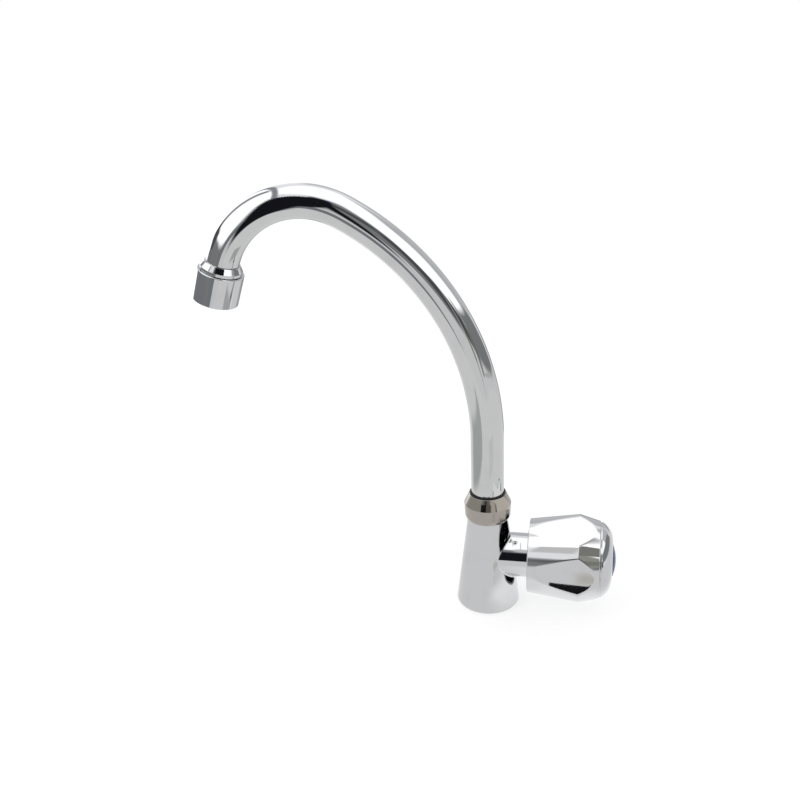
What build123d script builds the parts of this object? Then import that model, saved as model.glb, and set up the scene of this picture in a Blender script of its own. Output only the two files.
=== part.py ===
import os
from math import cos, pi, radians, sin, tan

from build123d import *

# Sizes in millimetres. The origin is the middle of the base face, on the axis of the column.
# The knob points along +X, the spout along -X, and +Z is up.

# Clearances
turn_gap = 0.05
thread_gap = 0.05
seal_gap = 0.05
braze_gap = 0.02
end_float = 0.05

# Body casting
base_r = 20.0
base_edge_r = 2.4
shoulder_r = 12.3
shoulder_z = 60.4
neck_r = 11.0
neck_len = 10.0
socket_r = 8.5
socket_depth = 21.0
knob_axis_z = 33.8
boss_r = 13.7
boss_end_x = 27.5
boss_edge = 0.4
boss_root_r = 1.2

# Water ways in the body
port_x = -2.0
port_r = 4.5
port_len = 12.0
passage_r = 3.5
seat_x = 5.5
seat_bore_r = 4.2
chamber_r = 9.3
outflow_r = 3.0

# Fixing stud hole and base seal
stud_x = 9.3
stud_r = 3.4
stud_len = 15.0
seal_groove_r = 13.6
seal_w = 2.6
seal_depth = 2.0

# Grub screws round the boss
grub_count = 3
grub_x = 17.5
grub_first_deg = 62.0
grub_r = 1.5
grub_sunk = 0.6
grub_key_r = 0.8
grub_key_depth = 1.3

# Union nut and the rings that hold the spout
nut_gap = 0.2
nut_bottom_r = 13.3
nut_belly_r = 14.0
nut_belly_z = 62.4
nut_belly_round = 1.0
nut_crease_r = 14.4
nut_crease_z = 70.5
nut_mouth_r = 11.3
nut_lip_t = 1.2
nut_mouth_depth = 2.0
wiper_t = 0.7
wiper_proud = 1.0
wiper_edge = 0.3
thrust_t = 0.6
flange_t = 2.4
flange_gap = 0.3
slip_t = 0.6
slip_split = 1.2

# Spout tube
tube_r = 10.0
tube_wall = 1.0
bend_start_z = 114.6
long_bend_r = 154.0
long_bend_deg = 61.4
short_bend_r = 52.0
outlet_tilt_deg = 17.5
outlet_straight = 11.0

# Spigot of the spout
spigot_bore_r = 5.5
spigot_in_tube = 10.0
spigot_floor_gap = 1.0
spigot_ring_rise = (4.0, 9.0)
ring_cord_r = 0.7
ring_groove_w = 2.0

# Outlet collar and aerator
collar_r = 12.7
collar_top_r = 10.7
collar_shoulder = 3.2
collar_thread_r = 12.0
collar_thread_len = 7.8
collar_lip = 2.0
collar_lip_r = 9.0
housing_start = 5.4
housing_top_r = 14.1
housing_end_r = 13.8
housing_len = 19.0
housing_edge = 0.5
housing_lip_r = 11.2
housing_lip_t = 1.9
washer_t = 1.8
insert_flange_t = 1.6
insert_step = 1.1
insert_len = 5.6
jet_count = 12
jet_ring_r = 7.4
jet_r = 0.7
screen_t = 0.3
screen_pitch = 0.5
screen_hole_r = 0.9
screen_hole_pitch = 3.2
grille_t = 2.3
grille_rim_t = 1.0
grille_hole_r = 1.25
grille_hole_pitch = 2.9

# Headwork, measured from the seat outwards along the knob's axis
seat_seal_t = 1.6
seat_seal_r = 7.0
disc_t = 2.4
disc_r = 7.2
disc_port_in = 2.0
disc_port_out = 5.4
disc_port_deg = 82.0
notch_in = 5.8
notch_depth = 1.5
driver_t = 3.2
driver_core_r = 4.2
driver_bar_w = 4.6
blade_w = 2.4
blade_len = 6.0
blade_depth = 2.1
sleeve_r = 8.6
window_count = 4
window_deg = 52.0
stop_t = 2.8
stop_bore_r = 6.0
stop_lug_deg = 50.0
stop_slack_deg = 1.0
turn_deg = 90.0
headwork_thread_r = 10.45
gasket_t = 0.8
gasket_out_r = 13.2
hex_flats = 22.0
hex_t = 6.0
headwork_neck_r = 7.5
headwork_neck_len = 3.7

# Spindle
spindle_r = 5.0
spindle_ring_rise = (4.0, 8.5)
spindle_cord_r = 0.6
spindle_groove_w = 1.7
clip_t = 0.9
clip_out_r = 6.6
clip_groove_depth = 0.8
clip_gap_deg = 60.0
clip_step = 0.2
clip_shoulder = 0.5
spline_root_r = 3.5
spline_tip_r = 4.0
spline_teeth = 20
spline_len = 10.0
spline_start = 2.2
screw_bore_depth = 9.0

# Knob
knob_rim_x = 25.7
knob_rim_r = 23.0
knob_rim_edge = 0.5
knob_crease_x = 56.4
knob_crease_r = 27.5
knob_front_x = 69.2
knob_front_r = 23.9
knob_front_round = 0.8
knob_groove_w = 0.8
knob_groove_depth = 0.7
knob_dome_x = 75.0
knob_dome_r = 18.6
knob_end_x = 76.7
knob_end_r = 11.7
knob_wall = 2.3
knob_front_wall = 4.6
knob_hub_r = 10.6
knob_rib_t = 1.6
knob_rib_back = 18.0
facet_count = 5
facet_half_deg = 27.5
facet_tilt_deg = 2.0
facet_first_deg = 3.5
insert_r = 8.0
insert_back_gap = 0.6
insert_wall = 2.5
screw_r = 1.95
screw_reach = 7.5
screw_head_r = 3.6
screw_head_t = 2.6
screw_cross_w = 1.2
screw_cross_len = 4.0
screw_cross_depth = 1.3
screw_way_r = 4.6
cap_r = 9.7
cap_gap = 0.2
cap_t = 2.0
cap_rim = 0.3
cap_crown = 1.8
cap_plug_len = 3.6
cap_plug_wall = 1.0
cap_plug_gap = 0.1

# Places that follow from the sizes
neck_top_z = shoulder_z + neck_len
socket_floor_z = neck_top_z - socket_depth
nut_bottom_z = shoulder_z + nut_gap
flange_z = neck_top_z + thrust_t
tube_start_z = flange_z + flange_t
lip_z = tube_start_z + slip_t
mouth_z = lip_z + nut_lip_t
nut_top_z = mouth_z + nut_mouth_depth
flange_r = neck_r - flange_gap
tube_hole_r = tube_r + turn_gap

fixed_disc_x = seat_x + seat_seal_t
moving_disc_x = fixed_disc_x + disc_t
driver_x = moving_disc_x + disc_t
stop_x = driver_x + driver_t
stop_end_x = stop_x + stop_t
sleeve_bore_r = disc_r + 2 * turn_gap
hex_x = boss_end_x + gasket_t
hex_end_x = hex_x + hex_t
headwork_end_x = hex_end_x + headwork_neck_len
clip_x = headwork_end_x + clip_step
spline_x = headwork_end_x + spline_start
spline_end_x = spline_x + spline_len
insert_x = spline_x + insert_back_gap
insert_end_x = spline_end_x + turn_gap + insert_wall
cap_floor_x = knob_end_x - cap_t
cap_rim_x = knob_end_x + cap_rim
cap_top_x = cap_rim_x + cap_crown

outlet_tilt = radians(outlet_tilt_deg)
outlet_dir = Vector(-sin(outlet_tilt), 0, -cos(outlet_tilt))
knob_line = Axis((0, 0, knob_axis_z), (1, 0, 0))
knob_plane = Plane(origin=(0, 0, knob_axis_z), x_dir=(1, 0, 0), z_dir=(0, -1, 0))


def across_knob(x):
    """The plane across the knob's axis at x, seen from the front of the knob."""
    return Plane(origin=(x, 0, knob_axis_z), x_dir=(0, 1, 0), z_dir=(1, 0, 0))


def radial_from_boss(deg, distance):
    """The plane square to a spoke of the boss, deg up from the side of the boss towards -Y."""
    spoke = Vector(0, -cos(radians(deg)), sin(radians(deg)))
    return Plane(origin=Vector(grub_x, 0, knob_axis_z) + spoke * distance, x_dir=(1, 0, 0), z_dir=spoke)


def sector(r_in, r_out, middle_deg, width_deg):
    """A face between two arcs about the sketch's origin."""
    start = middle_deg - width_deg / 2
    with BuildLine() as outline:
        inner = CenterArc((0, 0), r_in, start, width_deg)
        outer = CenterArc((0, 0), r_out, start, width_deg)
        Line(inner @ 0, outer @ 0)
        Line(inner @ 1, outer @ 1)
    make_face(outline.edges())


def spline_outline(tip_r, root_r):
    """The outline of a toothed shaft: a point on each tip and in each root."""
    points = []
    for i in range(2 * spline_teeth):
        turn = pi * i / spline_teeth
        r = tip_r if i % 2 == 0 else root_r
        points.append((r * cos(turn), r * sin(turn)))
    with BuildLine() as outline:
        Polyline(points, close=True)
    make_face(outline.edges())


def hex_grid(pitch, hole_r, limit_r):
    """Places of round-packed six-sided holes that stay inside a radius."""
    rows = int(limit_r / pitch) + 2
    spots = []
    for row in range(-rows, rows + 1):
        for column in range(-rows, rows + 1):
            x = pitch * (column + row / 2)
            y = pitch * row * sin(pi / 3)
            if (x * x + y * y) ** 0.5 + hole_r <= limit_r:
                spots.append((x, y))
    return spots


# Centre line of the spout, in the plane of the knob's axis
with BuildLine(Plane.XZ) as spout_line:
    riser = Line((0, tube_start_z), (0, bend_start_z))
    long_bend = CenterArc((-long_bend_r, bend_start_z), long_bend_r, 0, long_bend_deg)
    reach = long_bend_r - (long_bend_r - short_bend_r) * cos(radians(long_bend_deg))
    rise = (long_bend_r - short_bend_r) * sin(radians(long_bend_deg))
    short_middle = (-reach, bend_start_z + rise)
    short_turn = 180 - outlet_tilt_deg - long_bend_deg
    short_bend = CenterArc(short_middle, short_bend_r, long_bend_deg, short_turn)
    drop = Line(short_bend @ 1, short_bend @ 1 + (short_bend % 1) * outlet_straight)

outlet_point = short_bend @ 1
outlet_line = Axis(outlet_point, outlet_dir)
outlet_side = Vector(cos(outlet_tilt), 0, -sin(outlet_tilt))
outlet_plane = Plane(origin=outlet_point, x_dir=outlet_side, z_dir=(0, 1, 0))


def across_outlet(distance):
    """The plane across the outlet at a distance past the end of the bend, facing the basin."""
    return Plane(origin=outlet_point + outlet_dir * distance, x_dir=(0, 1, 0), z_dir=outlet_dir)


# Body: a turned cone with a side boss, a threaded neck and the water ways
with BuildPart() as body:
    with BuildSketch(Plane.XZ):
        with BuildLine():
            Polyline(
                (0, 0),
                (base_r, 0),
                (shoulder_r, shoulder_z),
                (neck_r - thread_gap, shoulder_z),
                (neck_r - thread_gap, neck_top_z),
                (0, neck_top_z),
                close=True,
            )
        make_face()
    revolve(axis=Axis.Z)
    fillet(body.edges().group_by(Axis.Z)[0], base_edge_r)
    with BuildSketch(across_knob(0)):
        Circle(boss_r)
    extrude(amount=boss_end_x)
    chamfer(body.edges().filter_by(GeomType.CIRCLE).group_by(Axis.X)[-1], boss_edge)
    fillet(body.edges().filter_by(GeomType.CIRCLE, reverse=True).sort_by(SortBy.LENGTH)[-1], boss_root_r)
    with BuildSketch(Plane.XY.offset(socket_floor_z)):
        Circle(socket_r)
    extrude(amount=socket_depth, mode=Mode.SUBTRACT)
    with BuildSketch(across_knob(seat_x)):
        Circle(chamber_r)
    extrude(amount=stop_x - seat_x, mode=Mode.SUBTRACT)
    with BuildSketch(across_knob(stop_x)):
        Circle(headwork_thread_r)
    extrude(amount=boss_end_x - stop_x, mode=Mode.SUBTRACT)
    with BuildSketch(across_knob(port_x)):
        Circle(seat_bore_r)
    extrude(amount=seat_x - port_x, mode=Mode.SUBTRACT)
    with BuildSketch(Plane.XY):
        with Locations((port_x, 0)):
            Circle(port_r)
    extrude(amount=port_len, mode=Mode.SUBTRACT)
    with BuildSketch(Plane.XY.offset(port_len)):
        with Locations((port_x, 0)):
            Circle(passage_r)
    extrude(amount=knob_axis_z - port_len, mode=Mode.SUBTRACT)
    with BuildSketch(Plane.XY):
        with Locations((stud_x, 0)):
            Circle(stud_r)
    extrude(amount=stud_len, mode=Mode.SUBTRACT)
    with BuildSketch(Plane.XY):
        Circle(seal_groove_r + seal_w)
        Circle(seal_groove_r, mode=Mode.SUBTRACT)
    extrude(amount=seal_depth, mode=Mode.SUBTRACT)
    outflow_from = Vector((seat_x + stop_x) / 2, 0, knob_axis_z + chamber_r / 2)
    outflow_to = Vector(0, 0, socket_floor_z + outflow_r / 2)
    outflow_run = outflow_to - outflow_from
    with BuildSketch(Plane(origin=outflow_from, z_dir=outflow_run)):
        Circle(outflow_r)
    extrude(amount=outflow_run.length, mode=Mode.SUBTRACT)
    for i in range(grub_count):
        with BuildSketch(radial_from_boss(grub_first_deg + i * 360 / grub_count, sleeve_r)):
            Circle(grub_r)
        extrude(amount=boss_r - sleeve_r + grub_r, mode=Mode.SUBTRACT)
body.part.label = "body"

# Seal ring in the base
with BuildPart() as base_seal:
    with BuildSketch(Plane.XY):
        Circle(seal_groove_r + seal_w - seal_gap)
        Circle(seal_groove_r + seal_gap, mode=Mode.SUBTRACT)
    extrude(amount=seal_depth)
base_seal.part.label = "base_seal"

# Grub screws that lock the headwork in the boss
with BuildPart() as grub_screws:
    tip_r = headwork_thread_r + thread_gap
    for i in range(grub_count):
        deg = grub_first_deg + i * 360 / grub_count
        with BuildSketch(radial_from_boss(deg, tip_r)):
            Circle(grub_r - thread_gap)
        extrude(amount=boss_r - grub_sunk - tip_r)
        with BuildSketch(radial_from_boss(deg, boss_r - grub_sunk)):
            RegularPolygon(grub_key_r, 6)
        extrude(amount=-grub_key_depth, mode=Mode.SUBTRACT)
grub_screws.part.label = "grub_screws"

# Union nut: a two-band barrel with a lip that keeps the spout down
with BuildPart() as union_nut:
    with BuildSketch(Plane.XZ):
        with BuildLine():
            Polyline(
                (neck_r, nut_bottom_z),
                (nut_bottom_r, nut_bottom_z),
                (nut_belly_r, nut_belly_z),
                (nut_crease_r, nut_crease_z),
                (nut_mouth_r, nut_top_z),
                (tube_hole_r + wiper_t, nut_top_z),
                (tube_hole_r + wiper_t, mouth_z),
                (tube_hole_r + 2 * turn_gap, mouth_z),
                (tube_hole_r + 2 * turn_gap, lip_z),
                (neck_r, lip_z),
                close=True,
            )
        make_face()
    revolve(axis=Axis.Z)
    belly_edge = union_nut.edges().filter_by_position(Axis.Z, nut_belly_z - nut_gap, nut_belly_z + nut_gap)
    fillet(belly_edge, nut_belly_round)
union_nut.part.label = "union_nut"

# Black wiper ring in the mouth of the nut
with BuildPart() as wiper_ring:
    with BuildSketch(Plane.XY.offset(mouth_z)):
        Circle(tube_hole_r + wiper_t - seal_gap)
        Circle(tube_hole_r, mode=Mode.SUBTRACT)
    extrude(amount=nut_mouth_depth + wiper_proud)
    chamfer(wiper_ring.edges().group_by(Axis.Z)[-1].sort_by(SortBy.LENGTH)[-1], wiper_edge)
wiper_ring.part.label = "wiper_ring"

# Thrust washer between the neck and the flange of the spout
with BuildPart() as thrust_washer:
    with BuildSketch(Plane.XY.offset(neck_top_z)):
        Circle(flange_r)
        Circle(socket_r + turn_gap, mode=Mode.SUBTRACT)
    extrude(amount=thrust_t - end_float)
thrust_washer.part.label = "thrust_washer"

# Spout tube
with BuildPart() as spout_tube:
    with BuildSketch(Plane.XY.offset(tube_start_z)):
        Circle(tube_r)
        Circle(tube_r - tube_wall, mode=Mode.SUBTRACT)
    sweep(path=spout_line.line)
spout_tube.part.label = "spout_tube"

# Spigot: the turned end of the spout that swivels in the socket
spigot_r = socket_r - 2 * turn_gap
spigot_z = socket_floor_z + spigot_floor_gap
spigot_top_r = tube_r - tube_wall - braze_gap
ring_z = [spigot_z + rise for rise in spigot_ring_rise]
ring_middle_r = socket_r - seal_gap - ring_cord_r
with BuildPart() as spout_spigot:
    with BuildSketch(Plane.XZ):
        with BuildLine():
            Polyline(
                (spigot_bore_r, spigot_z),
                (spigot_r, spigot_z),
                (spigot_r, flange_z),
                (flange_r, flange_z),
                (flange_r, tube_start_z),
                (spigot_top_r, tube_start_z),
                (spigot_top_r, tube_start_z + spigot_in_tube),
                (spigot_bore_r, tube_start_z + spigot_in_tube),
                close=True,
            )
        make_face()
        groove_floor_r = ring_middle_r - ring_cord_r - seal_gap
        with Locations(*[((groove_floor_r + socket_r) / 2, z) for z in ring_z]):
            Rectangle(socket_r - groove_floor_r, ring_groove_w, mode=Mode.SUBTRACT)
    revolve(axis=Axis.Z)
spout_spigot.part.label = "spout_spigot"

# Two seal rings on the spigot
with BuildPart() as spigot_rings:
    with BuildSketch(Plane.XZ):
        with Locations(*[(ring_middle_r, z) for z in ring_z]):
            Circle(ring_cord_r)
    revolve(axis=Axis.Z)
spigot_rings.part.label = "spigot_rings"

# Split slip ring between the flange and the lip of the nut
with BuildPart() as slip_ring:
    with BuildSketch(Plane.XY.offset(tube_start_z)):
        Circle(flange_r)
        Circle(tube_hole_r, mode=Mode.SUBTRACT)
        with Locations((-flange_r, 0)):
            Rectangle(flange_r, slip_split, mode=Mode.SUBTRACT)
    extrude(amount=slip_t - end_float)
slip_ring.part.label = "slip_ring"

# Outlet collar: brazed on the tube, with a sloped shoulder and a thread for the aerator
collar_thread_start = housing_start - nut_gap
collar_end = collar_thread_start + collar_thread_len
collar_floor = outlet_straight + braze_gap
with BuildPart() as outlet_collar:
    with BuildSketch(outlet_plane):
        with BuildLine():
            Polyline(
                (tube_r + braze_gap, 0),
                (collar_top_r, 0),
                (collar_r, collar_shoulder),
                (collar_r, collar_thread_start),
                (collar_thread_r - thread_gap, collar_thread_start),
                (collar_thread_r - thread_gap, collar_end),
                (collar_lip_r, collar_end),
                (collar_lip_r, collar_floor),
                (tube_r + braze_gap, collar_floor),
                close=True,
            )
        make_face()
    revolve(axis=outlet_line)
outlet_collar.part.label = "outlet_collar"

# Aerator housing: a slightly tapered cup screwed over the collar
housing_end = housing_start + housing_len
housing_lip = housing_end - housing_lip_t
with BuildPart() as aerator_housing:
    with BuildSketch(outlet_plane):
        with BuildLine():
            Polyline(
                (collar_thread_r, housing_start),
                (housing_top_r - housing_edge, housing_start),
                (housing_top_r, housing_start + housing_edge),
                (housing_end_r, housing_end - housing_edge),
                (housing_end_r - housing_edge, housing_end),
                (housing_lip_r, housing_end),
                (housing_lip_r, housing_lip),
                (collar_thread_r, housing_lip),
                close=True,
            )
        make_face()
    revolve(axis=outlet_line)
aerator_housing.part.label = "aerator_housing"

# Rubber washer between the collar and the aerator's insert
washer_r = collar_thread_r - 2 * thread_gap
insert_body_r = washer_r - insert_step
insert_start = collar_end + washer_t
with BuildPart() as aerator_washer:
    with BuildSketch(across_outlet(collar_end)):
        Circle(washer_r)
        Circle(collar_lip_r, mode=Mode.SUBTRACT)
    extrude(amount=washer_t)
aerator_washer.part.label = "aerator_washer"

# Insert: a cup whose floor breaks the water into jets
with BuildPart() as aerator_insert:
    with BuildSketch(across_outlet(insert_start)):
        Circle(washer_r)
    extrude(amount=insert_flange_t)
    with BuildSketch(across_outlet(insert_start + insert_flange_t)):
        Circle(insert_body_r)
    extrude(amount=insert_len - insert_flange_t)
    with BuildSketch(across_outlet(insert_start + insert_flange_t)):
        Circle(insert_body_r - insert_flange_t)
    extrude(amount=insert_len - insert_flange_t, mode=Mode.SUBTRACT)
    with BuildSketch(across_outlet(insert_start)):
        with PolarLocations(jet_ring_r, jet_count):
            Circle(jet_r)
    extrude(amount=insert_flange_t, mode=Mode.SUBTRACT)
aerator_insert.part.label = "aerator_insert"

# Two mesh screens under the insert
screen_starts = [insert_start + insert_len + i * (screen_t + screen_pitch) for i in range(2)]
with BuildPart() as aerator_screens:
    for start in screen_starts:
        with BuildSketch(across_outlet(start)):
            Circle(washer_r)
            with Locations(*hex_grid(screen_hole_pitch, screen_hole_r, insert_body_r)):
                RegularPolygon(screen_hole_r, 6, mode=Mode.SUBTRACT)
        extrude(amount=screen_t)
aerator_screens.part.label = "aerator_screens"

# Outlet grille: a honeycomb that rests on the lip of the housing
grille_start = screen_starts[-1] + screen_t
grille_rim_end = housing_lip
with BuildPart() as outlet_grille:
    with BuildSketch(across_outlet(grille_start)):
        Circle(washer_r)
    extrude(amount=grille_rim_end - grille_start)
    with BuildSketch(across_outlet(grille_rim_end)):
        Circle(housing_lip_r - 2 * thread_gap)
    extrude(amount=grille_t - grille_rim_t)
    with BuildSketch(across_outlet(grille_start)):
        with Locations(*hex_grid(grille_hole_pitch, grille_hole_r, housing_lip_r - grille_rim_t)):
            RegularPolygon(grille_hole_r, 6)
    extrude(amount=grille_rim_end - grille_start + grille_t, mode=Mode.SUBTRACT)
outlet_grille.part.label = "outlet_grille"

# Headwork housing: sleeve for the discs, thread, hexagon and neck
sleeve_start_x = seat_x + seat_seal_t / 4
thread_start_x = stop_x + nut_gap
thread_end_x = boss_end_x - nut_gap
with BuildPart() as headwork_housing:
    with BuildSketch(knob_plane):
        with BuildLine():
            Polyline(
                (sleeve_start_x, 0),
                (sleeve_start_x, sleeve_r),
                (thread_start_x, sleeve_r),
                (thread_start_x, headwork_thread_r - thread_gap),
                (hex_x, headwork_thread_r - thread_gap),
                (hex_x, headwork_neck_r),
                (headwork_end_x, headwork_neck_r),
                (headwork_end_x, 0),
                close=True,
            )
        make_face()
    revolve(axis=knob_line)
    with BuildSketch(across_knob(hex_x)):
        RegularPolygon(hex_flats / 2, 6, major_radius=False)
    extrude(amount=hex_t)
    with BuildSketch(across_knob(sleeve_start_x)):
        Circle(sleeve_bore_r)
    extrude(amount=stop_x - sleeve_start_x, mode=Mode.SUBTRACT)
    with BuildSketch(across_knob(stop_x)):
        Circle(stop_bore_r)
        pocket_deg = stop_lug_deg + turn_deg + 2 * stop_slack_deg
        sector(stop_bore_r / 2, sleeve_bore_r, turn_deg / 2, pocket_deg)
    extrude(amount=stop_t, mode=Mode.SUBTRACT)
    with BuildSketch(across_knob(stop_end_x)):
        Circle(spindle_r + turn_gap)
    extrude(amount=headwork_end_x - stop_end_x, mode=Mode.SUBTRACT)
    with BuildSketch(across_knob(driver_x)):
        for i in range(window_count):
            sector(disc_r, sleeve_r + sleeve_bore_r - disc_r, (i + 0.5) * 360 / window_count, window_deg)
    extrude(amount=driver_t - nut_gap, mode=Mode.SUBTRACT)
headwork_housing.part.label = "headwork_housing"

# Flat gasket between the boss and the hexagon
with BuildPart() as headwork_gasket:
    with BuildSketch(across_knob(boss_end_x)):
        Circle(gasket_out_r)
        Circle(headwork_thread_r + seal_gap, mode=Mode.SUBTRACT)
    extrude(amount=gasket_t)
headwork_gasket.part.label = "headwork_gasket"

# Rubber seal pressed on the seat
with BuildPart() as seat_seal:
    with BuildSketch(across_knob(seat_x)):
        Circle(seat_seal_r)
        Circle(disc_port_out + seal_gap, mode=Mode.SUBTRACT)
    extrude(amount=seat_seal_t)
seat_seal.part.label = "seat_seal"

# Fixed ceramic disc, its two ports to the sides
with BuildPart() as fixed_disc:
    with BuildSketch(across_knob(fixed_disc_x)):
        Circle(disc_r)
    extrude(amount=disc_t - end_float)
    for side in (0, 180):
        with BuildSketch(across_knob(fixed_disc_x)):
            sector(disc_port_in, disc_port_out, side, disc_port_deg)
        extrude(amount=disc_t, mode=Mode.SUBTRACT)
fixed_disc.part.label = "fixed_disc"

# Moving ceramic disc, its two ports a quarter turn away when shut
with BuildPart() as moving_disc:
    with BuildSketch(across_knob(moving_disc_x)):
        Circle(disc_r)
    extrude(amount=disc_t)
    for side in (90, 270):
        with BuildSketch(across_knob(moving_disc_x)):
            sector(disc_port_in, disc_port_out, side, disc_port_deg)
        extrude(amount=disc_t, mode=Mode.SUBTRACT)
    with BuildSketch(across_knob(driver_x)):
        Rectangle(2 * disc_r, driver_bar_w + 2 * turn_gap)
        Rectangle(2 * notch_in, driver_bar_w + 2 * turn_gap, mode=Mode.SUBTRACT)
    extrude(amount=-notch_depth, mode=Mode.SUBTRACT)
moving_disc.part.label = "moving_disc"

# Driver: a bar that carries the turn from the spindle to the moving disc
driver_r = disc_r - turn_gap
with BuildPart() as disc_driver:
    with BuildSketch(across_knob(driver_x)):
        Circle(driver_core_r)
        Rectangle(2 * driver_r, driver_bar_w)
        Circle(driver_r, mode=Mode.INTERSECT)
    extrude(amount=driver_t - end_float)
    with BuildSketch(across_knob(driver_x)):
        Rectangle(2 * driver_r, driver_bar_w)
        Circle(driver_r, mode=Mode.INTERSECT)
        Rectangle(2 * (notch_in + turn_gap), driver_bar_w, mode=Mode.SUBTRACT)
    extrude(amount=-(notch_depth - end_float))
    with BuildSketch(across_knob(stop_x)):
        Rectangle(blade_len + 2 * turn_gap, blade_w + 2 * turn_gap)
    extrude(amount=-(blade_depth + turn_gap), mode=Mode.SUBTRACT)
disc_driver.part.label = "disc_driver"

# Spindle: blade, stop lug, shaft with ring grooves, clip groove, splines and a threaded end
spindle_ring_x = [stop_end_x + rise for rise in spindle_ring_rise]
spindle_ring_r = spindle_r + turn_gap - seal_gap - spindle_cord_r
spindle_floor_r = spindle_ring_r - spindle_cord_r - seal_gap
clip_floor_r = spindle_r - clip_groove_depth
shaft_end_x = clip_x + clip_t + 2 * turn_gap + clip_shoulder
with BuildPart() as spindle:
    with BuildSketch(knob_plane):
        with BuildLine():
            Polyline(
                (stop_x, 0),
                (stop_x, stop_bore_r - 2 * turn_gap),
                (stop_end_x - end_float, stop_bore_r - 2 * turn_gap),
                (stop_end_x - end_float, spindle_r),
                (shaft_end_x, spindle_r),
                (shaft_end_x, spline_root_r),
                (spline_end_x, spline_root_r),
                (spline_end_x, 0),
                close=True,
            )
        make_face()
        with Locations(*[(x, spindle_r) for x in spindle_ring_x]):
            Rectangle(spindle_groove_w, 2 * (spindle_r - spindle_floor_r), mode=Mode.SUBTRACT)
        with Locations((clip_x + clip_t / 2, spindle_r)):
            Rectangle(clip_t + 2 * turn_gap, 2 * clip_groove_depth, mode=Mode.SUBTRACT)
    revolve(axis=knob_line)
    with BuildSketch(across_knob(stop_x)):
        sector(stop_bore_r / 2, sleeve_bore_r - 2 * turn_gap, 0, stop_lug_deg)
    extrude(amount=stop_t - end_float)
    with BuildSketch(across_knob(stop_x)):
        Rectangle(blade_len, blade_w)
    extrude(amount=-blade_depth)
    with BuildSketch(across_knob(spline_x)):
        spline_outline(spline_tip_r, spline_root_r)
    extrude(amount=spline_len)
    with BuildSketch(across_knob(spline_end_x)):
        Circle(screw_r + thread_gap)
    extrude(amount=-screw_bore_depth, mode=Mode.SUBTRACT)
spindle.part.label = "spindle"

# Two seal rings on the spindle
with BuildPart() as spindle_rings:
    with BuildSketch(knob_plane):
        with Locations(*[(x, spindle_ring_r) for x in spindle_ring_x]):
            Circle(spindle_cord_r)
    revolve(axis=knob_line)
spindle_rings.part.label = "spindle_rings"

# Snap ring that keeps the spindle in the headwork
with BuildPart() as snap_ring:
    with BuildSketch(across_knob(clip_x + turn_gap)):
        sector(clip_floor_r + turn_gap, clip_out_r, 90, 360 - clip_gap_deg)
    extrude(amount=clip_t)
snap_ring.part.label = "snap_ring"

# Knob: a turned double cone with five flats, hollow behind, with a hub on ribs
facet_r = knob_crease_r * cos(radians(facet_half_deg))
groove_end_x = knob_front_x + knob_groove_w
skirt_slope = (knob_crease_r - knob_rim_r) / (knob_crease_x - knob_rim_x)
inner_rim_r = knob_rim_r - knob_wall
inner_crease_r = facet_r - knob_wall
inner_front_x = knob_end_x - knob_front_wall - cap_t
inner_front_r = knob_front_r - knob_wall - knob_front_wall
with BuildPart() as knob_shell:
    with BuildSketch(knob_plane):
        with BuildLine():
            Polyline(
                (knob_crease_x, 0),
                (knob_rim_x, 0),
                (knob_rim_x, knob_rim_r - knob_rim_edge),
                (knob_rim_x + knob_rim_edge, knob_rim_r + skirt_slope * knob_rim_edge),
                (knob_crease_x, knob_crease_r),
                (knob_front_x, knob_front_r),
                (knob_front_x, knob_front_r - knob_groove_depth),
                (groove_end_x, knob_front_r - knob_groove_depth),
                (groove_end_x, knob_front_r - knob_groove_depth / 2),
            )
            ThreePointArc(
                (groove_end_x, knob_front_r - knob_groove_depth / 2),
                (knob_dome_x, knob_dome_r),
                (knob_end_x, knob_end_r),
            )
            Polyline((knob_end_x, knob_end_r), (knob_end_x, 0), (knob_crease_x, 0))
        make_face()
        front_corners = vertices().filter_by_position(Axis.X, knob_front_x, knob_front_x)
        fillet(front_corners.sort_by(Axis.Y)[-1], knob_front_round)
    revolve(axis=knob_line)
    for i in range(facet_count):
        turn = radians(facet_first_deg + i * 360 / facet_count)
        tilt = radians(facet_tilt_deg)
        spoke = Vector(0, -cos(turn), sin(turn))
        outward = spoke * cos(tilt) - Vector(sin(tilt), 0, 0)
        facet_middle = Vector(knob_crease_x, 0, knob_axis_z) + spoke * facet_r
        split(bisect_by=Plane(origin=facet_middle, z_dir=outward), keep=Keep.BOTTOM)
    with BuildSketch(knob_plane):
        with BuildLine():
            Polyline(
                (knob_rim_x, 0),
                (knob_rim_x, inner_rim_r),
                (knob_crease_x, inner_crease_r),
                (inner_front_x, inner_front_r),
                (inner_front_x, 0),
                close=True,
            )
        make_face()
    revolve(axis=knob_line, mode=Mode.SUBTRACT)
    with BuildSketch(across_knob(insert_x)):
        Circle(knob_hub_r)
    extrude(amount=inner_front_x - insert_x)
    with BuildSketch(across_knob(inner_front_x - knob_rib_back)):
        with PolarLocations(0, facet_count, start_angle=180 - facet_first_deg + 180 / facet_count):
            with Locations((inner_front_r / 2 + knob_hub_r / 2, 0)):
                Rectangle(inner_crease_r, knob_rib_t)
        Circle(inner_front_r + knob_wall / 2, mode=Mode.INTERSECT)
    extrude(amount=knob_rib_back)
    with BuildSketch(across_knob(insert_x)):
        Circle(insert_r + braze_gap)
    extrude(amount=insert_end_x - insert_x, mode=Mode.SUBTRACT)
    with BuildSketch(across_knob(insert_end_x)):
        Circle(screw_way_r)
    extrude(amount=knob_end_x - insert_end_x, mode=Mode.SUBTRACT)
    with BuildSketch(across_knob(cap_floor_x)):
        Circle(cap_r + cap_gap)
    extrude(amount=cap_t, mode=Mode.SUBTRACT)
knob_shell.part.label = "knob_shell"

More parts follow.
